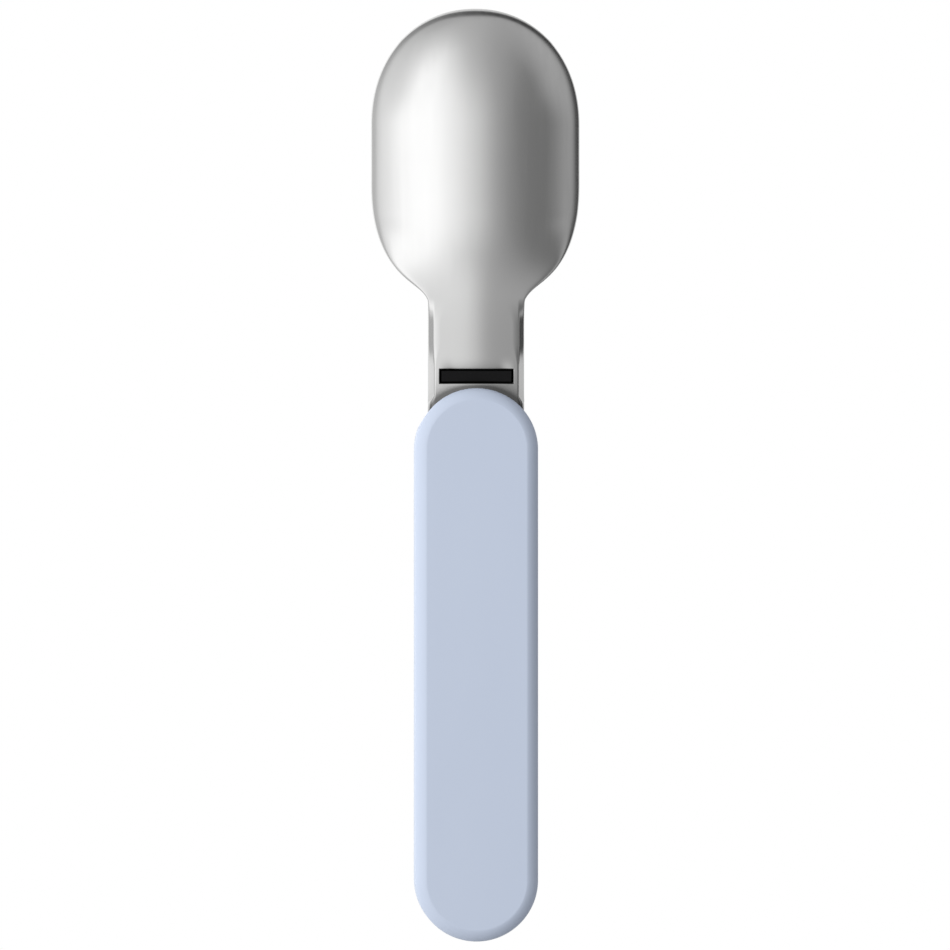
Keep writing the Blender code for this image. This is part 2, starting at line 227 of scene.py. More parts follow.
def rampTo(nodes, links, value, low, high, target):
    ramp = nodes.new("ShaderNodeMapRange")
    ramp.inputs["From Min"].default_value, ramp.inputs["From Max"].default_value = noiseSpan
    ramp.inputs["To Min"].default_value = low
    ramp.inputs["To Max"].default_value = high
    links.new(value, ramp.inputs["Value"])
    links.new(ramp.outputs["Result"], target)


def tint(nodes, links, value, dark, light):
    blend = nodes.new("ShaderNodeMix")
    blend.data_type = 'RGBA'
    blend.inputs[6].default_value = (*dark, 1.0)     # its two colours, whose names other sockets share
    blend.inputs[7].default_value = (*light, 1.0)
    links.new(value, blend.inputs["Factor"])
    return blend.outputs[2]


def bump(nodes, links, value, strength, depth, target):
    relief = nodes.new("ShaderNodeBump")
    relief.inputs["Strength"].default_value = strength
    relief.inputs["Distance"].default_value = depth
    links.new(value, relief.inputs["Height"])
    links.new(relief.outputs["Normal"], target)


def paintedCreviceShade(nodes, links, finish):
    # painted shade: the base colour darkens where pieces meet, by ambient occlusion
    clear = nodes.new("ShaderNodeAmbientOcclusion")
    clear.samples = paintedCreviceShadeForm["samples"]
    clear.inputs["Distance"].default_value = finish["paintedCreviceShadeReach"]
    share = nodes.new("ShaderNodeMapRange")
    share.inputs["From Min"].default_value = paintedCreviceShadeForm["closed"]
    share.inputs["From Max"].default_value = paintedCreviceShadeForm["open"]
    share.inputs["To Min"].default_value = finish["paintedCreviceShadeDark"]
    links.new(clear.outputs["AO"], share.inputs["Value"])
    return share.outputs["Result"]


def dim(nodes, links, colour, share):
    darker = nodes.new("ShaderNodeVectorMath")
    darker.operation = 'SCALE'
    links.new(colour, darker.inputs[0])
    links.new(share, darker.inputs["Scale"])
    return darker.outputs["Vector"]


steelFinish = {"dark": (0.69, 0.69, 0.69), "light": (0.75, 0.75, 0.745), "smooth": 0.15, "rough": 0.21,
               "lineScale": 900.0, "lineDetail": 3.0, "lineBump": 0.05, "lineDepth": 0.01 * mm,
               "cloudScale": 60.0, "cloudDetail": 4.0, "paintedCreviceShadeReach": 5 * mm, "paintedCreviceShadeDark": 0.25,
               "neckTone": 0.84, "neckToneEnd": 22 * mm, "bowlToneStart": 42 * mm}
headBrushing = (1.0, 0.06, 1.0)          # stretched along the spoon
hingeBrushing = (0.1, 1.0, 1.0)          # stretched across it


def makeSteel(name, brushing):
    material, nodes, links, shader = newMaterial(name)
    shader.inputs["Metallic"].default_value = 1.0
    lines = grainNoise(nodes, links, brushing, steelFinish["lineScale"], steelFinish["lineDetail"])
    cloud = grainNoise(nodes, links, evenGrain, steelFinish["cloudScale"], steelFinish["cloudDetail"])
    colour = tint(nodes, links, cloud, steelFinish["dark"], steelFinish["light"])
    # the base colour is a little darker along the neck than in the bowl
    split = nodes.new("ShaderNodeSeparateXYZ")
    links.new(nodes.new("ShaderNodeTexCoord").outputs["Object"], split.inputs["Vector"])
    bowlTone = nodes.new("ShaderNodeMapRange")
    bowlTone.interpolation_type = 'SMOOTHSTEP'
    bowlTone.inputs["From Min"].default_value = steelFinish["neckToneEnd"]
    bowlTone.inputs["From Max"].default_value = steelFinish["bowlToneStart"]
    bowlTone.inputs["To Min"].default_value = steelFinish["neckTone"]
    links.new(split.outputs["Y"], bowlTone.inputs["Value"])
    colour = dim(nodes, links, colour, bowlTone.outputs["Result"])
    # painted shade where pieces meet, as on the neck beside the handle's end
    colour = dim(nodes, links, colour, paintedCreviceShade(nodes, links, steelFinish))
    links.new(colour, shader.inputs["Base Color"])
    rampTo(nodes, links, lines, steelFinish["smooth"], steelFinish["rough"], shader.inputs["Roughness"])
    bump(nodes, links, lines, steelFinish["lineBump"], steelFinish["lineDepth"], shader.inputs["Normal"])
    return material


lilacFinish = {"dark": (0.463, 0.528, 0.660), "light": (0.483, 0.548, 0.680), "smooth": 0.42, "rough": 0.52,
               "shine": 0.3, "grainScale": 4200.0, "grainDetail": 2.0, "grainBump": 0.12,
               "grainDepth": 0.02 * mm, "flow": (1.0, 0.35, 1.0), "flowScale": 90.0, "flowDetail": 3.0}


def makeHandlePlastic():
    material, nodes, links, shader = newMaterial("handleLilacPlastic")
    shader.inputs["Specular IOR Level"].default_value = lilacFinish["shine"]
    grain = grainNoise(nodes, links, evenGrain, lilacFinish["grainScale"], lilacFinish["grainDetail"])
    flow = grainNoise(nodes, links, lilacFinish["flow"], lilacFinish["flowScale"], lilacFinish["flowDetail"])
    colour = tint(nodes, links, flow, lilacFinish["dark"], lilacFinish["light"])
    links.new(colour, shader.inputs["Base Color"])
    rampTo(nodes, links, grain, lilacFinish["smooth"], lilacFinish["rough"], shader.inputs["Roughness"])
    bump(nodes, links, grain, lilacFinish["grainBump"], lilacFinish["grainDepth"], shader.inputs["Normal"])
    return material


# black plastic, set near black so that the rib in the window also paints the shade of the slot
blackFinish = {"dark": (0.003, 0.003, 0.003), "light": (0.008, 0.008, 0.009), "smooth": 0.38, "rough": 0.52,
               "shine": 0.1, "grainScale": 3500.0, "grainDetail": 2.0, "grainBump": 0.2,
               "grainDepth": 0.03 * mm, "paintedCreviceShadeReach": 2 * mm, "paintedCreviceShadeDark": 0.3}


def makeBlackPlastic():
    material, nodes, links, shader = newMaterial("knuckleBlackPlastic")
    shader.inputs["Specular IOR Level"].default_value = blackFinish["shine"]
    grain = grainNoise(nodes, links, evenGrain, blackFinish["grainScale"], blackFinish["grainDetail"])
    colour = tint(nodes, links, grain, blackFinish["dark"], blackFinish["light"])
    # painted shade where pieces meet
    colour = dim(nodes, links, colour, paintedCreviceShade(nodes, links, blackFinish))
    links.new(colour, shader.inputs["Base Color"])
    rampTo(nodes, links, grain, blackFinish["smooth"], blackFinish["rough"], shader.inputs["Roughness"])
    bump(nodes, links, grain, blackFinish["grainBump"], blackFinish["grainDepth"], shader.inputs["Normal"])
    return material


# spoon head: one sheet, from the ears on the hinge to the bowl's tip
headForm = {
    "sheet": 1.0 * mm,
    "bowlStraight": 9.65 * mm,   # along which the bowl's sides run straight
    "tipReach": 19.75 * mm,      # length of the outline's round ends, and how square they are
    "tipSquare": 2.1,
    "heelReach": 20.1 * mm,
    "heelSquare": 2.4,
    "heelRound": 17.0 * mm,      # how far down it runs before it heads straight for the neck
    "bowlDepth": 6.4 * mm,
    "sideLip": 0.02,             # share of the rise in the turned-up edge
    "tipLip": 0.08,
    "heelLip": 0.07,
    "heelLipGrowth": 4.0 * mm,
    "lipPower": 30,              # a high power keeps the lip near the edge
    "neckWidth": 16.3 * mm,
    "neckFillet": 1.8 * mm,
    "neckHeight": 1.8 * mm,
    "neckCrown": 0.65 * mm,
    "crownRound": 2.2 * mm,      # the crown is a rounded ridge with nearly flat flanks
    "neckBend": 1.3 * mm,
    "neckEdge": 0.4 * mm,
    "flareBend": 0.5 * mm,       # bend and slope of the neck's edges outside the handle
    "flareSlope": radians(52.3),
    "flareGrowth": 1.5 * mm,
    "flareThin": 0.2,            # share of the sheet that is lost in them, and where, from the bend
    "flareThinSpan": (-0.6 * mm, 0.3 * mm),
    "heelRise": 0.8 * mm,
    "heelLength": 15.3 * mm,
    "heelCurve": (-1.5 * mm, 14.0 * mm),   # where the section turns into the bowl's, from the corner
    "channelForm": 11.35 * mm,
    "firstTurn": 0.62,           # share of the edges' turn that comes beside the bowl, and where
    "firstTurnSpan": (-4.3 * mm, 0.7 * mm),
    "lastTurnLength": 4.5 * mm,
    "dipDepth": 0.25 * mm,
    "dipLength": 2.4 * mm,
    "dipFade": 2.5 * mm,
    "earRadius": 1.75 * mm,
    "earSlope": radians(45),
    "sheetEnd": 1.5 * mm,        # in front of the hinge axis
    "sheetEndDrop": 0.3 * mm,
    "rimRound": 0.48 * mm,
    "rimInset": 0.25,            # share of the edge's round that stands out past the grid
    "neckRound": 0.3 * mm,
    "neckInset": 0.65,
    "windowRound": 0.12 * mm,
    "boreRadius": 0.95 * mm,
    "sharpAngle": radians(50),
}
windowForm = {"width": 12.5 * mm, "length": 2.45 * mm, "fromHandle": 2.0 * mm}
headGrid = {"window": 20, "panel": 4, "bend": 12, "edge": 5, "ear": 26, "earArc": 60, "neck": 10,
            "channel": 26, "fillet": 18, "heel": 50, "straight": 24, "end": 44, "rimSteps": 4}

handleLength = 93.6 * mm
handleTip = shellLow.y + handleLength
bowlRadius = headHigh.x
rimInset = headForm["rimRound"] * headForm["rimInset"]
neckInset = headForm["neckRound"] * headForm["neckInset"]
bowlHalf = bowlRadius - rimInset
tipCentre = headHigh.y - headForm["tipReach"]
heelCentre = tipCentre - headForm["bowlStraight"]
neckHalf = headForm["neckWidth"] / 2
cornerY = heelCentre - headForm["heelReach"]
filletEnd = cornerY + headForm["neckFillet"]
channelStart = cornerY - headForm["channelForm"]
panelHalf = neckHalf - headForm["neckBend"]
crownFlank = panelHalf / headForm["crownRound"]
bendStart = atan(headForm["neckCrown"] / headForm["crownRound"] * tanh(crownFlank) / log(cosh(crownFlank)))
panelEdge = panelHalf + headForm["neckBend"] * sin(bendStart)
bendTop = headForm["neckHeight"] + headForm["neckCrown"] + headForm["neckBend"] * cos(bendStart)
edgeTop = headForm["neckHeight"] + headForm["neckCrown"] + headForm["neckBend"] + headForm["neckEdge"]
edgeEnd = edgeTop - headForm["neckRound"]
windowY = handleTip + windowForm["fromHandle"]
windowHalfY = windowForm["length"] / 2 + headForm["windowRound"]
windowHalfX = windowForm["width"] / 2 + headForm["windowRound"]
panelShare, bendShare = 0.6, 0.9         # of the columns: up to the panel's edge, up to the bend's end
windowShare = panelShare * windowHalfX / panelHalf


def headColumns():
    half = spread(0.0, windowShare, headGrid["window"])
    half += spread(windowShare, panelShare, headGrid["panel"])
    half += spread(panelShare, bendShare, headGrid["bend"])
    half += spread(bendShare, 1.0, headGrid["edge"])
    return [-u for u in reversed(half)] + [0.0] + half


def halfWidth(y):
    if y >= heelCentre:
        return bowlHalf
    square = headForm["heelSquare"]
    down = min(heelCentre - y, headForm["heelRound"]) / headForm["heelReach"]
    left = 1 - down ** square
    side = bowlRadius * left ** (1 / square)
    slope = bowlRadius / headForm["heelReach"] * left ** (1 / square - 1) * down ** (square - 1)
    side -= slope * max(heelCentre - y - headForm["heelRound"], 0.0)
    meeting = max(1 - abs(side - neckHalf) / headForm["neckFillet"], 0.0)
    inset = mix(neckInset, rimInset, ease(cornerY, filletEnd, y))
    return max(side, neckHalf) + headForm["neckFillet"] * meeting ** 2 / 4 - inset


def crownShape(x, half):
    return log(cosh(x / headForm["crownRound"])) / log(cosh(half / headForm["crownRound"]))


def bowlRise(u, lip):
    return (1 - lip) * u ** 2 + lip * u ** headForm["lipPower"]


def bowlPoint(u, y):
    intoBowl = ease(cornerY, cornerY + headForm["heelLength"], y)
    floor = mix(headForm["neckHeight"], 0.0, intoBowl)
    half = halfWidth(y)
    depth = headForm["bowlDepth"] * (half / bowlHalf) ** 2
    ridge = headForm["heelRise"] * crownShape(half * u, neckHalf)
    hollow = depth * bowlRise(abs(u), headForm["sideLip"] * intoBowl)
    lipGrown = ease(cornerY, cornerY + headForm["heelLipGrowth"], y) * (1 - intoBowl)
    lip = depth * headForm["heelLip"] * lipGrown * abs(u) ** headForm["lipPower"]
    low, high = headForm["heelCurve"]
    return half * u, floor + lip + mix(ridge, hollow, easeLonger(cornerY + low, cornerY + high, y))


def channelPoint(u, flare):
    # upright edges inside the handle, flared ones outside it
    uprightX, uprightZ = uprightPoint(u)
    if flare == 0.0:
        return uprightX, uprightZ
    radius, slope = headForm["flareBend"], headForm["flareSlope"]
    share = abs(u)
    base, crown = headForm["neckHeight"], headForm["neckCrown"]
    bentX = panelHalf + radius * (sin(slope) - sin(bendStart))
    bentZ = base + crown + radius * (cos(bendStart) - cos(slope))
    if share <= panelShare:
        x = share / panelShare * panelHalf
        z = base + crown * crownShape(x, panelHalf)
    elif share <= bendShare:
        turn = mix(bendStart, slope, (share - panelShare) / (bendShare - panelShare))
        x = panelHalf + radius * (sin(turn) - sin(bendStart))
        z = base + crown + radius * (cos(bendStart) - cos(turn))
    else:
        up = (share - bendShare) / (1 - bendShare)
        endX = neckHalf - headForm["neckRound"] * (1 - sin(slope))
        x, z = mix(bentX, endX, up), mix(bentZ, edgeEnd, up)
    return mix(uprightX, x if u > 0 else -x, flare), mix(uprightZ, z, flare)


def uprightPoint(u):
    side = -1 if u < 0 else 1
    share = abs(u)
    base = headForm["neckHeight"]
    bend = headForm["neckBend"]
    if share <= panelShare:
        x = share / panelShare * panelEdge
        return side * x, base + headForm["neckCrown"] * crownShape(x, panelEdge)
    if share <= bendShare:
        turn = mix(bendStart, pi / 2, (share - panelShare) / (bendShare - panelShare))
        return side * (neckHalf - bend * (1 - sin(turn))), bendTop - bend * cos(turn)
    return side * neckHalf, mix(bendTop, edgeEnd, (share - bendShare) / (1 - bendShare))


def formedShare(y):
    # the edges turn up in two steps: in the corner beside the bowl, and just above the window
    low, high = headForm["firstTurnSpan"]
    first = 1 - ease(cornerY + low, cornerY + high, y)
    last = 1 - ease(channelStart, channelStart + headForm["lastTurnLength"], y)
    return mix(headForm["firstTurn"] * first, 1.0, last)


def windowDip(x, y):
    # the sheet is pressed in a little along the window's upper edge
    near = min(max(1 - (y - windowY - windowHalfY) / headForm["dipLength"], 0.0), 1.0)
    inside = 1 - ease(windowHalfX - headForm["dipFade"], windowHalfX, abs(x))
    return headForm["dipDepth"] * near ** 2 * inside if y > windowY else 0.0


def flareShare(y):
    return ease(earFoot, earFoot + headForm["flareGrowth"], y)


def sectionRow(y, columns):
    formed = formedShare(y)
    row = []
    for u in columns:
        bowlX, bowlZ = bowlPoint(u, y)
        neckX, neckZ = channelPoint(u, flareShare(y))
        x = mix(bowlX, neckX, formed)
        row.append((x, y, mix(bowlZ, neckZ, formed) + windowDip(x, y)))
    return row


def endRow(v, columns):
    # square grid drawn onto half a disc, which is then squared off towards the rim
    row = []
    for u in columns:
        across = u * sqrt(1 - v * v / 2)
        along = v * sqrt(1 - u * u / 2)
        out = hypot(across, along)
        square = mix(2.0, headForm["tipSquare"], out ** 2)
        swell = ((abs(across) / out) ** square + (along / out) ** square) ** (-1 / square)
        lip = mix(headForm["sideLip"], headForm["tipLip"], along ** 4)
        row.append((bowlHalf * across * swell,
                    tipCentre + (headForm["tipReach"] - rimInset) * along * swell,
                    headForm["bowlDepth"] * bowlRise(out, lip)))
    return row


def slopeFoot(radius, height):
    # where the slanted front edge, tangent to the ear's round end, comes down to this height
    slope = headForm["earSlope"]
    return pivot.y + (radius - (height - pivot.z) * cos(slope)) / sin(slope)


earRadius = headForm["earRadius"] - headForm["neckRound"]
earFoot = slopeFoot(earRadius, edgeEnd)


def backEdge(z):
    # slanted back edge of the sheet, tangent to the ear's round end
    footY = headForm["sheetEnd"]
    footZ = headForm["neckHeight"] - headForm["sheetEndDrop"] - pivot.z
    turn = atan2(footZ, footY) - acos(earRadius / hypot(footY, footZ))
    touchY, touchZ = pivot.y + earRadius * cos(turn), pivot.z + earRadius * sin(turn)
    y = mix(pivot.y + footY, touchY, (z - pivot.z - footZ) / (touchZ - pivot.z - footZ))
    return y, turn


def earOutline(count):
    # from the front foot over the round end to the back edge, at even steps
    lastY, lastTurn = backEdge(bendTop)
    path = [(earFoot, edgeEnd)]
    firstTurn = pi / 2 - headForm["earSlope"]
    path += arc(pivot.y, pivot.z, earRadius, firstTurn, lastTurn + 2 * pi, headGrid["earArc"])
    path.append((lastY, bendTop))
    lengths = [0.0]
    for a, b in zip(path, path[1:]):
        lengths.append(lengths[-1] + hypot(b[0] - a[0], b[1] - a[1]))
    points = []
    for i in range(count + 1):
        goal = lengths[-1] * i / count
        k = max(j for j in range(len(path) - 1) if lengths[j] <= goal + rounding)
        t = (goal - lengths[k]) / (lengths[k + 1] - lengths[k])
        points.append((mix(path[k][0], path[k + 1][0], t), mix(path[k][1], path[k + 1][1], t)))
    return points


def earRows(columns):
    rows = []
    outline = earOutline(headGrid["ear"])
    for step, (topY, topZ) in enumerate(outline):
        share = step / headGrid["ear"]
        row = []
        for u in columns:
            x, z = uprightPoint(u)
            if abs(u) <= bendShare:
                row.append((x, mix(earFoot, backEdge(z)[0], share), z))
                continue
            up = (abs(u) - bendShare) / (1 - bendShare)
            footY = mix(earFoot, backEdge(bendTop)[0], share)
            row.append((x, mix(footY, topY, up), mix(bendTop, topZ, up)))
        rows.append(row)
    rows.reverse()
    return rows


def headRows(columns):
    windowLow, windowHigh = windowY - windowHalfY, windowY + windowHalfY
    ys = spread(earFoot, windowLow, headGrid["neck"]) + spread(windowLow, windowHigh, headGrid["neck"])
    ys += spread(windowHigh, channelStart, headGrid["neck"])
    ys += spread(channelStart, cornerY, headGrid["channel"])
    ys += spread(cornerY, filletEnd, headGrid["fillet"])
    reach = headForm["heelReach"]
    firstTurn = acos((heelCentre - filletEnd) / reach)
    ys += [heelCentre - reach * cos(turn) for turn in spread(firstTurn, pi / 2, headGrid["heel"])]
    ys += spread(heelCentre, tipCentre, headGrid["straight"])
    rows = earRows(columns) + [sectionRow(y, columns) for y in ys]
    return rows + [endRow(v, columns) for v in spread(0.0, 1.0, headGrid["end"])]


def edgeRound(point):
    if abs(point.x) < windowHalfX + tiny and abs(point.y - windowY) < windowHalfY + tiny:
        return headForm["windowRound"]
    intoBowl = ease(cornerY, cornerY + headForm["heelLength"], point.y)
    return mix(headForm["neckRound"], headForm["rimRound"], intoBowl)


def boundaryLoops(bm):
    follow = {}
    for edge in bm.edges:
        if edge.is_boundary:
            loop = edge.link_loops[0]
            follow[loop.vert] = loop.link_loop_next.vert
    loops = []
    while follow:
        start = next(iter(follow))
        loop = [start]
        while follow[loop[-1]] is not start:
            loop.append(follow[loop[-1]])
        for vert in loop:
            del follow[vert]
        loops.append(loop)
    return loops


def surfaceNormals(points):
    # outward normal at each point of the grid, also where it narrows: at the ears and at two rim corners
    normals = numpy.cross(numpy.gradient(points, axis=0), numpy.gradient(points, axis=1))
    lengths = numpy.linalg.norm(normals, axis=2, keepdims=True)
    normals /= numpy.maximum(lengths, notZero)
    normals[0] = numpy.where(lengths[0] < rounding, normals[1], normals[0])
    for corner, beside in ((0, 1), (-1, -2)):
        between = normals[-1, beside] + normals[-2, corner]
        normals[-1, corner] = between / numpy.linalg.norm(between)
    return normals


def evenedNormals(points, normals, reach):
    # normals averaged across the sheet, so that the inner face turns tight bends without folding
    evened = numpy.empty_like(normals)
    for row, (line, directions) in enumerate(zip(points, normals)):
        steps = numpy.linalg.norm(numpy.diff(line, axis=0), axis=1)
        place = numpy.concatenate(([0.0], numpy.cumsum(steps)))
        weights = numpy.exp(-((place[:, None] - place) / reach) ** 2) * numpy.gradient(place)
        evened[row] = weights @ directions
    return evened / numpy.linalg.norm(evened, axis=2, keepdims=True)


def sheetShare(x, y):
    # the flared edges are drawn out thinner
    low, high = headForm["flareThinSpan"]
    flared = flareShare(y) * formedShare(y) * ease(panelHalf + low, panelHalf + high, abs(x))
    return 1 - headForm["flareThin"] * flared


def thicken(bm, sheet, outward, inset):
    # inner face of the sheet, and a rounded edge along each border
    outerFaces = list(bm.faces)
    borders = boundaryLoops(bm)
    outside = {vert: vert[outward].copy() for vert in bm.verts}
    under = {vert: vert[inset].copy() for vert in bm.verts}
    inner = {vert: bm.verts.new(vert.co - under[vert] * sheet * sheetShare(*vert.co.xy)) for vert in outside}
    turns = spread(0.0, pi / 2, headGrid["rimSteps"])
    strips = []
    for border in borders:
        strip = []
        for i, vert in enumerate(border):
            normal, below = outside[vert], under[vert]
            along = (border[(i + 1) % len(border)].co - border[i - 1].co).normalized()
            away = along.cross(normal).normalized()
            radius = edgeRound(vert.co)
            outerCentre, innerCentre = vert.co - normal * radius, inner[vert].co + below * radius
            column = [vert]
            for turn in turns:
                column.append(bm.verts.new(outerCentre + radius * (cos(turn) * normal + sin(turn) * away)))
            for turn in [0.0] + turns[:-1]:
                column.append(bm.verts.new(innerCentre + radius * (-sin(turn) * below + cos(turn) * away)))
            column.append(inner[vert])
            strip.append(column)
        strips.append(strip)
    for face in outerFaces:
        bm.faces.new([inner[vert] for vert in reversed(face.verts)])
    for strip in strips:
        for i, column in enumerate(strip):
            following = strip[(i + 1) % len(strip)]
            for k in range(len(column) - 1):
                bm.faces.new((column[k + 1], following[k + 1], following[k], column[k]))


def makeSpoonHead(material):
    columns = headColumns()
    points = numpy.array(headRows(columns))
    normals = surfaceNormals(points)
    evened = evenedNormals(points, normals, headForm["sheet"])
    bm = bmesh.new()
    outward = bm.verts.layers.float_vector.new("outward")
    inset = bm.verts.layers.float_vector.new("inset")
    grid = []
    for line, directions, soft in zip(points, normals, evened):
        grid.append([bm.verts.new(point) for point in line])
        for vert, direction, softer in zip(grid[-1], directions, soft):
            vert[outward], vert[inset] = Vector(direction), Vector(softer)
    for low, high in zip(grid, grid[1:]):
        for i in range(len(columns) - 1):
            centre = (low[i].co + high[i + 1].co) / 2
            inWindow = abs(centre.x) < windowHalfX and abs(centre.y - windowY) < windowHalfY
            if not inWindow:
                bm.faces.new((low[i], high[i], high[i + 1], low[i + 1]))
    bmesh.ops.remove_doubles(bm, verts=bm.verts, dist=doubleReach)
    bmesh.ops.delete(bm, geom=[v for v in bm.verts if not v.link_faces], context='VERTS')
    thicken(bm, headForm["sheet"], outward, inset)
    for layer in (outward, inset):
        bm.verts.layers.float_vector.remove(layer)
    bmesh.ops.recalc_face_normals(bm, faces=bm.faces)
    head = meshObject("spoonHead", bm)
    bore = ring(headForm["boreRadius"], boreTurn)
    combine(head, prism("earBore", bore, -neckHalf - mm, neckHalf + mm, True), 'DIFFERENCE')
    head.data.shade_smooth()
    head.data.set_sharp_from_angle(angle=headForm["sharpAngle"])
    dress(head, material, "head", "spoon_head")


# hinge: black block between the ears, pin through it, leaf behind it
hingeForm = {"barrelFlat": 1.5 * mm, "plateLow": 3.8 * mm, "plateHigh": 4.6 * mm, "plateBack": 0.8 * mm,
             "ribRecess": 0.35 * mm, "fit": 0.3 * mm, "edge": 0.12 * mm, "pinChamfer": 0.2 * mm,
             "leaf": 0.5 * mm, "leafEdge": 0.08 * mm, "sharpAngle": radians(40)}
hingeSteps = {"barrelTop": 24, "barrelBack": 12, "pinChamfer": 3, "leaf": 20}


def makeHingeKnuckle(material):
    radius, flat = headForm["earRadius"], hingeForm["barrelFlat"]
    half = acos(flat / radius)
    profile = [(pivot.y + flat, hingeForm["plateHigh"])]
    profile += arc(pivot.y, pivot.z, radius, half, pi - half, hingeSteps["barrelTop"])
    profile += arc(pivot.y, pivot.z, radius, pi + half, 1.5 * pi, hingeSteps["barrelBack"])
    profile += [(pivot.y + hingeForm["plateBack"], hingeForm["plateLow"]),
                (knuckleHigh.y, hingeForm["plateLow"]), (knuckleHigh.y, hingeForm["plateHigh"])]
    knuckle = prism("hingeKnuckle", profile, knuckleLow.x, knuckleHigh.x, True)
    # the rib fills the window in the neck; its near-black colour paints the shade there
    ribX = windowForm["width"] / 2 - hingeForm["fit"]
    ribY = windowForm["length"] / 2 - hingeForm["fit"]
    ribLow = headForm["neckHeight"] + hingeForm["ribRecess"]
    ribHigh = mix(hingeForm["plateLow"], hingeForm["plateHigh"], 0.5)
    corners = oblong(-ribX, ribX, windowY - ribY, windowY + ribY)
    combine(knuckle, prism("windowRib", corners, ribLow, ribHigh, False), 'UNION')
    bore = ring(headForm["boreRadius"], boreTurn)
    combine(knuckle, prism("barrelBore", bore, -neckHalf, neckHalf, True), 'DIFFERENCE')
    softenEdges(knuckle, hingeForm["edge"], bevelSteps)
    shade(knuckle, hingeForm["sharpAngle"])
    dress(knuckle, material, "head", "hinge_knuckle")


def makeHingePin(material):
    radius = (pinHigh.z - pinLow.z) / 2
    pin = prism("hingePin", ring(radius, 0.0), pinLow.x, pinHigh.x, True)
    softenEdges(pin, hingeForm["pinChamfer"], hingeSteps["pinChamfer"])
    shade(pin, hingeForm["sharpAngle"])
    dress(pin, material, "handle", "hinge_pin")


def makeDetentSpring(material):
    front = springHigh.y
    bow = front - springLow.y - hingeForm["leaf"]
    count = hingeSteps["leaf"]
    shares = [i / count for i in range(-count, count + 1)]
    near = [(springHigh.x * share, front - bow * share ** 2) for share in shares]
    outline = near + [(x, y - hingeForm["leaf"]) for x, y in reversed(near)]
    leaf = prism("detentSpring", outline, springLow.z, springHigh.z, False)
    softenEdges(leaf, hingeForm["leafEdge"], bevelSteps)
    shade(leaf, hingeForm["sharpAngle"])
    dress(leaf, material, "handle", "detent_spring")


# handle: two slabs with rounded edges, made by one node tree
handleForm = {
    "backEdge": 2.0 * mm,        # width, height and power of the rounded edge: power 1 is a round, 2 a bevel
    "backRise": 1.5 * mm,
    "backPower": 1.33,
    "frontEdge": 1.0 * mm,
    "frontRise": 1.0 * mm,
    "frontPower": 1.0,
    "backWall": 1.5 * mm,
    "coverPlate": 1.4 * mm,
    "sideGap": 0.35 * mm,
    "tongueGap": 0.3 * mm,
    "tongueWall": 1.0 * mm,
    "hornWidth": 0.25 * mm,      # of the side walls where they end, and how far they slope back
    "hornSlope": 1.7 * mm,
    "notchCorner": 2.0 * mm,
    "notchClear": 0.5 * mm,
    "seat": 0.95 * mm,
    "pinEnd": 0.15 * mm,
    "postWidth": 3.5 * mm,
    "postLength": 2.0 * mm,
    "postGap": 0.3 * mm,
    "edge": 0.1 * mm,
    "sharpAngle": radians(35),
}
handleSteps = {"around": 144, "edge": 16, "bay": 48, "seat": 24, "notch": 10}


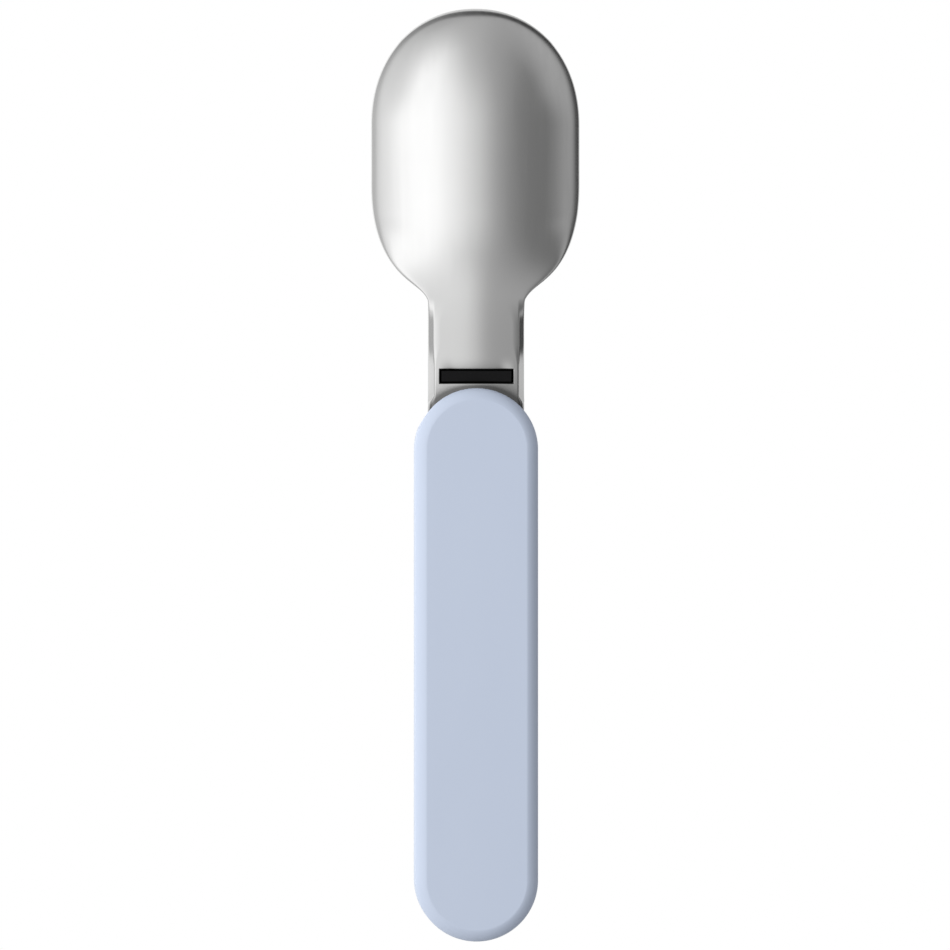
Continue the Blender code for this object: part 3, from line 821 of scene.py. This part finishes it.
def slabTree():
    tree = bpy.data.node_groups.new("roundedSlab", 'GeometryNodeTree')
    face = tree.interface
    measures = ("Length", "Width", "Middle", "Flat Height", "Face Height",
                "Edge Inset", "Edge Rise", "Edge Power")
    kinds = {name: 'NodeSocketFloat' for name in measures}
    kinds.update({"Around": 'NodeSocketInt', "Edge Steps": 'NodeSocketInt',
                  "Material": 'NodeSocketMaterial'})
    sockets = {}
    for name, kind in kinds.items():
        sockets[name] = face.new_socket(name=name, in_out='INPUT', socket_type=kind).identifier
    face.new_socket(name="Geometry", in_out='OUTPUT', socket_type='NodeSocketGeometry')
    nodes, links = tree.nodes, tree.links
    given = nodes.new("NodeGroupInput").outputs

    def sums(operation, *values):
        return sumNode(tree, operation, *values)

    segments = sums('ADD', given["Edge Steps"], 1.0)
    drum = nodes.new("GeometryNodeMeshCylinder")
    drum.fill_type = 'NGON'
    links.new(given["Around"], drum.inputs["Vertices"])
    links.new(segments, drum.inputs["Side Segments"])
    drum.inputs["Radius"].default_value = 1.0
    drum.inputs["Depth"].default_value = 1.0
    turned = nodes.new("GeometryNodeTransform")
    spin = nodes.new("ShaderNodeCombineXYZ")
    links.new(sums('DIVIDE', pi, given["Around"]), spin.inputs["Z"])
    links.new(drum.outputs["Mesh"], turned.inputs["Geometry"])
    links.new(spin.outputs["Vector"], turned.inputs["Rotation"])
    split = nodes.new("ShaderNodeSeparateXYZ")
    links.new(nodes.new("GeometryNodeInputPosition").outputs["Position"], split.inputs["Vector"])
    # number of the row from the flat cut: the first is the straight wall, the rest is the rounded edge
    row = sums('MULTIPLY', sums('ADD', split.outputs["Z"], 0.5), segments)
    wall = sums('MINIMUM', row, 1.0)
    onEdge = sums('MAXIMUM', sums('SUBTRACT', row, 1.0), 0.0)
    turn = sums('MULTIPLY', sums('DIVIDE', onEdge, given["Edge Steps"]), pi / 2)
    curveIn = sums('POWER', sums('COSINE', turn), given["Edge Power"])
    curveUp = sums('POWER', sums('SINE', turn), given["Edge Power"])
    inset = sums('MULTIPLY', sums('SUBTRACT', 1.0, curveIn), given["Edge Inset"])
    reach = sums('SUBTRACT', sums('MULTIPLY', given["Width"], 0.5), inset)
    # a circle pulled apart into an outline with two round ends
    apart = sums('MULTIPLY', sums('SUBTRACT', given["Length"], given["Width"]), 0.5)
    alongEnd = sums('MULTIPLY', sums('SIGN', split.outputs["Y"]), apart)
    along = sums('ADD', sums('ADD', sums('MULTIPLY', split.outputs["Y"], reach), alongEnd), given["Middle"])
    across = sums('MULTIPLY', split.outputs["X"], reach)
    span = sums('SUBTRACT', given["Face Height"], given["Flat Height"])
    curl = sums('MULTIPLY', sums('SIGN', span), given["Edge Rise"])
    straight = sums('MULTIPLY', sums('SUBTRACT', span, curl), wall)
    rise = sums('ADD', straight, sums('MULTIPLY', curl, curveUp))
    place = nodes.new("ShaderNodeCombineXYZ")
    links.new(across, place.inputs["X"])
    links.new(along, place.inputs["Y"])
    links.new(sums('ADD', given["Flat Height"], rise), place.inputs["Z"])
    moved = nodes.new("GeometryNodeSetPosition")
    links.new(turned.outputs["Geometry"], moved.inputs["Geometry"])
    links.new(place.outputs["Vector"], moved.inputs["Position"])
    real = nodes.new("GeometryNodeRealizeInstances")
    coat = nodes.new("GeometryNodeSetMaterial")
    links.new(moved.outputs["Geometry"], real.inputs["Geometry"])
    links.new(real.outputs["Geometry"], coat.inputs["Geometry"])
    links.new(given["Material"], coat.inputs["Material"])
    links.new(coat.outputs["Geometry"], nodes.new("NodeGroupOutput").inputs["Geometry"])
    return tree, sockets


def slab(name, tree, sockets, flatHeight, faceHeight, side, material):
    ob = meshObject(name, bmesh.new())
    grown = ob.modifiers.new("roundedSlab", 'NODES')
    grown.node_group = tree
    values = {"Length": handleLength, "Width": shellHigh.x - shellLow.x,
              "Middle": shellLow.y + handleLength / 2, "Flat Height": flatHeight, "Face Height": faceHeight,
              "Edge Inset": handleForm[side + "Edge"], "Edge Rise": handleForm[side + "Rise"],
              "Edge Power": handleForm[side + "Power"], "Around": handleSteps["around"],
              "Edge Steps": handleSteps["edge"], "Material": material}
    for key, value in values.items():
        grown[sockets[key]] = value
    settle(ob)
    bm = bmesh.new()
    bm.from_mesh(ob.data)
    bmesh.ops.recalc_face_normals(bm, faces=bm.faces)
    bm.to_mesh(ob.data)
    bm.free()
    return ob


handleHalf = shellHigh.x
bayHalf = neckHalf + handleForm["sideGap"]
endCentre = shellLow.y + handleHalf
hornY = handleTip - handleHalf + sqrt(handleHalf ** 2 - (bayHalf + handleForm["hornWidth"]) ** 2)
splitHeight = shellHigh.z
coverHeight = coverHigh.z - handleForm["coverPlate"]
past = 2 * mm                    # how far cutters run past what they cut


def bay(half, mouth):
    # outline as long as the handle's inside, with a round end
    return mouth + arc(0, endCentre, half, pi, 2 * pi, handleSteps["bay"])


def makeHandleShell(tree, sockets, material):
    shell = slab("handleShell", tree, sockets, splitHeight, 0.0, "back", material)
    wide, beyond = handleHalf + past, handleTip + past
    mouth = [(bayHalf, hornY), (wide, hornY), (wide, beyond)]
    mouth += [(-x, y) for x, y in reversed(mouth)]
    cavity = prism("cavity", bay(bayHalf, mouth), handleForm["backWall"], splitHeight + past, False)
    combine(shell, cavity, 'DIFFERENCE')
    # the side walls slope down towards the lip
    slope = [(hornY, handleForm["backWall"]), (beyond, handleForm["backWall"]), (beyond, splitHeight),
             (hornY - handleForm["hornSlope"], splitHeight)]
    combine(shell, prism("wallSlope", slope, -wide, wide, True), 'DIFFERENCE')
    radius = handleForm["seat"]
    seat = arc(pivot.y, pivot.z, radius, pi, 2 * pi, handleSteps["seat"])
    seat += [(pivot.y + radius, splitHeight + past), (pivot.y - radius, splitHeight + past)]
    postFront = springLow.y - handleForm["postGap"]
    postBack = postFront - handleForm["postLength"]
    postTop = springHigh.z - handleForm["postGap"]
    for side in (-1, 1):
        ends = sorted((side * (bayHalf - handleForm["sideGap"]), side * (pinHigh.x + handleForm["pinEnd"])))
        combine(shell, prism("pinSeat", seat, ends[0], ends[1], True), 'DIFFERENCE')
        inner, outer = side * (bayHalf - handleForm["postWidth"]), side * (bayHalf + mm)
        foot = oblong(inner, outer, postBack, postFront)
        combine(shell, prism("springPost", foot, handleForm["backWall"] / 2, postTop, False), 'UNION')
    softenEdges(shell, handleForm["edge"], bevelSteps)
    shade(shell, handleForm["sharpAngle"])
    dress(shell, material, "handle", "handle_shell")


def makeHandleCover(tree, sockets, material):
    cover = slab("handleCover", tree, sockets, coverHeight, coverHigh.z, "front", material)
    # the notch clears the ears when they are folded over
    foot = slopeFoot(headForm["earRadius"], edgeTop)
    notchY = 2 * pivot.y - foot - handleForm["notchClear"]
    corner = handleForm["notchCorner"]
    tongueHalf = bayHalf - handleForm["tongueGap"]
    tongueY = notchY - corner
    tongue = bay(tongueHalf, [(tongueHalf, tongueY), (-tongueHalf, tongueY)])
    combine(cover, prism("tongue", tongue, coverLow.z, mix(coverHeight, coverHigh.z, 0.5), False), 'UNION')
    hollowHalf, hollowY = tongueHalf - handleForm["tongueWall"], tongueY - handleForm["tongueWall"]
    hollow = bay(hollowHalf, [(hollowHalf, hollowY), (-hollowHalf, hollowY)])
    combine(cover, prism("tongueHollow", hollow, coverLow.z - mm, coverHeight, False), 'DIFFERENCE')
    wide, beyond = handleHalf + past, handleTip + past
    notch = arc(bayHalf - corner, notchY + corner, corner, -pi / 2, 0, handleSteps["notch"])
    hornEnd = hornY - handleForm["hornSlope"]
    notch += [(bayHalf, hornEnd), (wide, hornEnd), (wide, beyond)]
    notch += [(-x, y) for x, y in reversed(notch)]
    combine(cover, prism("notch", notch, coverLow.z - past, coverHigh.z + past, False), 'DIFFERENCE')
    saddle = ring(handleForm["seat"], boreTurn)
    reach = pinHigh.x + handleForm["pinEnd"]
    combine(cover, prism("pinSaddle", saddle, -reach, reach, True), 'DIFFERENCE')
    softenEdges(cover, handleForm["edge"], bevelSteps)
    shade(cover, handleForm["sharpAngle"])
    dress(cover, material, "handle", "handle_cover")


# studio
studio = {"cameraFar": 1.6, "cameraAim": (0.13 * mm, -0.1 * mm, 5.0 * mm), "cameraLean": radians(2.5),
          "frameHeight": 161.0 * mm, "tentRadius": 6.0, "tentFineness": 4,
          "floorRadius": 4.0, "floorSides": 96, "floorDrop": 0.05 * mm, "floorColour": (0.86, 0.86, 0.865),
          "floorRough": 0.9, "floorShine": 0.1, "fadeStart": 0.5, "fadeEnd": 2.2}
# strength of the light tent from the photo's right to its left: straight below, low down, level, above
tentFront = ((0.0, 0.24), (0.15, 0.21), (0.30, 0.35), (0.50, 0.80), (0.70, 1.21), (0.83, 1.40), (1.0, 1.2))
tentLow = ((0.0, 0.42), (0.15, 0.50), (0.35, 0.46), (0.50, 0.53), (0.65, 0.51), (0.80, 0.69), (0.95, 0.93))
tentLevel = ((0.0, 0.08), (0.5, 0.12), (1.0, 0.62))
tentAbove = ((0.0, 0.80), (0.25, 0.75), (0.5, 0.85), (0.8, 1.15), (1.0, 1.15))
tentMost = 2.0                   # the highest strength that its curves may reach
# where one strength passes into the next, as shares of the tent's radius, and what is kept where it dims
tentForm = {"middle": (0.05, 0.45), "middleKept": 0.7, "ends": (0.0, 0.9),
            "handleEnd": (0.28, 0.6), "handleEndKept": 0.6, "tip": (0.9, 0.96), "tipKept": 0.35,
            "beside": (0.0, 0.35), "besideReach": 0.07,
            "frontToLow": (0.74, 0.89), "lowToLevel": (-0.36, -0.2), "levelToAbove": (0.06, 0.26)}
# soft lamps as (where from, far, size, power, colour), which the metal doesn't mirror
lamps = {"leftKey": ((0.78, 0.2, -0.60), 0.7, 0.35, 3.45, (1.0, 0.965, 0.91)),
         "rightFill": ((-0.8, 0.0, -0.5), 0.7, 0.35, 0.4, (1.0, 1.0, 1.0)),
         "upperKey": ((0.3, 0.4, 0.85), 0.8, 0.3, 2.0, (1.0, 1.0, 1.0))}


def makeCamera():
    lens = bpy.data.cameras.new("photoCamera")
    lens.lens = studio["cameraFar"] * lens.sensor_width / studio["frameHeight"]
    camera = bpy.data.objects.new("photoCamera", lens)
    lean = studio["cameraLean"]
    toward = Vector((sin(lean), 0.0, -cos(lean)))
    camera.location = Vector(studio["cameraAim"]) + studio["cameraFar"] * toward
    camera.rotation_euler = (0.0, pi - lean, 0.0)    # looks up at the spoon's back, bowl at the top
    bpy.context.scene.collection.objects.link(camera)
    bpy.context.scene.camera = camera


def makeTent():
    bm = bmesh.new()
    bmesh.ops.create_icosphere(bm, subdivisions=studio["tentFineness"], radius=studio["tentRadius"])
    bmesh.ops.reverse_faces(bm, faces=bm.faces)
    tent = meshObject("lightTent", bm)
    tent.rotation_euler.y = studio["cameraLean"]
    material = bpy.data.materials.new("tentCloth")
    material.use_nodes = True
    tree = material.node_tree
    nodes, links = tree.nodes, tree.links
    nodes.remove(nodes["Principled BSDF"])
    place = nodes.new("ShaderNodeTexCoord")
    toward = nodes.new("ShaderNodeVectorMath")
    toward.operation = 'NORMALIZE'
    split = nodes.new("ShaderNodeSeparateXYZ")
    links.new(place.outputs["Object"], toward.inputs[0])
    links.new(toward.outputs["Vector"], split.inputs["Vector"])
    x, y, z = split.outputs

    def sums(operation, *values):
        return sumNode(tree, operation, *values)

    def blended(value, span, first, second):
        share = nodes.new("ShaderNodeMapRange")
        share.interpolation_type = 'SMOOTHSTEP'
        share.inputs["From Min"].default_value, share.inputs["From Max"].default_value = span
        links.new(value, share.inputs["Value"])
        blend = nodes.new("ShaderNodeMix")
        links.new(share.outputs["Result"], blend.inputs["Factor"])
        links.new(first, blend.inputs["A"])
        links.new(second, blend.inputs["B"])
        return blend.outputs["Result"]

    def sideways(stops):
        curve = nodes.new("ShaderNodeFloatCurve")
        line = curve.mapping.curves[0]
        curve.mapping.clip_max_y = tentMost
        while len(line.points) < len(stops):
            line.points.new(0.5, 0.5)
        for point, stop in zip(line.points, stops):
            point.location = stop
        curve.mapping.update()
        links.new(sums('MULTIPLY_ADD', x, 0.5, 0.5), curve.inputs["Value"])
        return curve.outputs["Value"]

    # the front light is dimmer along the middle towards both ends, and towards the handle's end
    front = sideways(tentFront)
    dimmed = sums('MULTIPLY', front, tentForm["middleKept"])
    ends = blended(sums('ABSOLUTE', x), tentForm["middle"], dimmed, front)
    front = blended(sums('ABSOLUTE', y), tentForm["ends"], front, ends)
    dimmed = sums('MULTIPLY', front, tentForm["handleEndKept"])
    front = blended(sums('MULTIPLY', y, -1.0), tentForm["handleEnd"], front, dimmed)
    # it reaches further out straight beside the spoon
    lean = sums('SQRT', sums('ADD', sums('POWER', x, 2.0), sums('POWER', y, 2.0)))
    leanBeside = sums('SUBTRACT', lean, tentForm["besideReach"])
    lean = blended(sums('ABSOLUTE', y), tentForm["beside"], leanBeside, lean)
    # the low light is dimmer past the bowl's tip
    low = sideways(tentLow)
    low = blended(y, tentForm["tip"], low, sums('MULTIPLY', low, tentForm["tipKept"]))
    below = blended(lean, tentForm["frontToLow"], front, low)
    level = blended(z, tentForm["lowToLevel"], below, sideways(tentLevel))
    strength = blended(z, tentForm["levelToAbove"], level, sideways(tentAbove))
    glow = nodes.new("ShaderNodeEmission")
    links.new(strength, glow.inputs["Strength"])
    links.new(glow.outputs["Emission"], nodes["Material Output"].inputs["Surface"])
    tent.data.materials.append(material)
    tent.data.shade_smooth()
    tent.visible_camera = False
    tent.visible_shadow = False


def makeLamps():
    for name, (toward, far, size, power, colour) in lamps.items():
        light = bpy.data.lights.new(name, 'AREA')
        light.size = size
        light.energy = power
        light.color = colour
        lamp = bpy.data.objects.new(name, light)
        lamp.location = Vector(toward).normalized() * far
        lamp.rotation_euler = Vector(toward).to_track_quat('Z', 'Y').to_euler()
        lamp.visible_glossy = False
        bpy.context.scene.collection.objects.link(lamp)


def makeFloor():
    bm = bmesh.new()
    bmesh.ops.create_circle(bm, cap_ends=True, segments=studio["floorSides"], radius=studio["floorRadius"])
    floor = meshObject("paleFloor", bm)
    floor.location.z = cadLow.z - studio["floorDrop"]
    material, nodes, links, shader = newMaterial("paleFloor")
    shader.inputs["Base Color"].default_value = (*studio["floorColour"], 1.0)
    shader.inputs["Roughness"].default_value = studio["floorRough"]
    shader.inputs["Specular IOR Level"].default_value = studio["floorShine"]
    # fades into the white backdrop, and shows only to a camera above it
    place = nodes.new("ShaderNodeTexCoord")
    far = nodes.new("ShaderNodeVectorMath")
    far.operation = 'LENGTH'
    links.new(place.outputs["Object"], far.inputs[0])
    fade = nodes.new("ShaderNodeMapRange")
    fade.interpolation_type = 'SMOOTHSTEP'
    fade.inputs["From Min"].default_value = studio["fadeStart"]
    fade.inputs["From Max"].default_value = studio["fadeEnd"]
    links.new(far.outputs["Value"], fade.inputs["Value"])
    white = nodes.new("ShaderNodeEmission")
    distance = nodes.new("ShaderNodeMixShader")
    links.new(fade.outputs["Result"], distance.inputs["Fac"])
    links.new(shader.outputs["BSDF"], distance.inputs[1])
    links.new(white.outputs["Emission"], distance.inputs[2])
    path = nodes.new("ShaderNodeLightPath")
    side = nodes.new("ShaderNodeNewGeometry")
    seen = sumNode(material.node_tree, 'SUBTRACT', path.outputs["Is Camera Ray"], side.outputs["Backfacing"])
    seen.node.use_clamp = True
    clear = nodes.new("ShaderNodeBsdfTransparent")
    shown = nodes.new("ShaderNodeMixShader")
    links.new(seen, shown.inputs["Fac"])
    links.new(clear.outputs["BSDF"], shown.inputs[1])
    links.new(distance.outputs["Shader"], shown.inputs[2])
    links.new(shown.outputs["Shader"], nodes["Material Output"].inputs["Surface"])
    floor.data.materials.append(material)
    floor.visible_shadow = False


def makeBackdrop():
    world = bpy.data.worlds.new("whiteBackdrop")
    world.use_nodes = True
    world.node_tree.nodes["Background"].inputs["Color"].default_value = (1.0, 1.0, 1.0, 1.0)
    bpy.context.scene.world = world


bpy.context.scene.view_settings.view_transform = 'Standard'
makeCamera()
makeTent()
makeLamps()
makeFloor()
makeBackdrop()
print("stage: camera, light tent, floor")
headSteel = makeSteel("headSteel", headBrushing)
hingeSteel = makeSteel("hingeSteel", hingeBrushing)
handlePlastic = makeHandlePlastic()
makeSpoonHead(headSteel)
makeHingeKnuckle(makeBlackPlastic())
makeHingePin(hingeSteel)
makeDetentSpring(hingeSteel)
print("stage: head and hinge")
slabNodes, slabSockets = slabTree()
makeHandleShell(slabNodes, slabSockets, handlePlastic)
makeHandleCover(slabNodes, slabSockets, handlePlastic)
print("stage: handle")
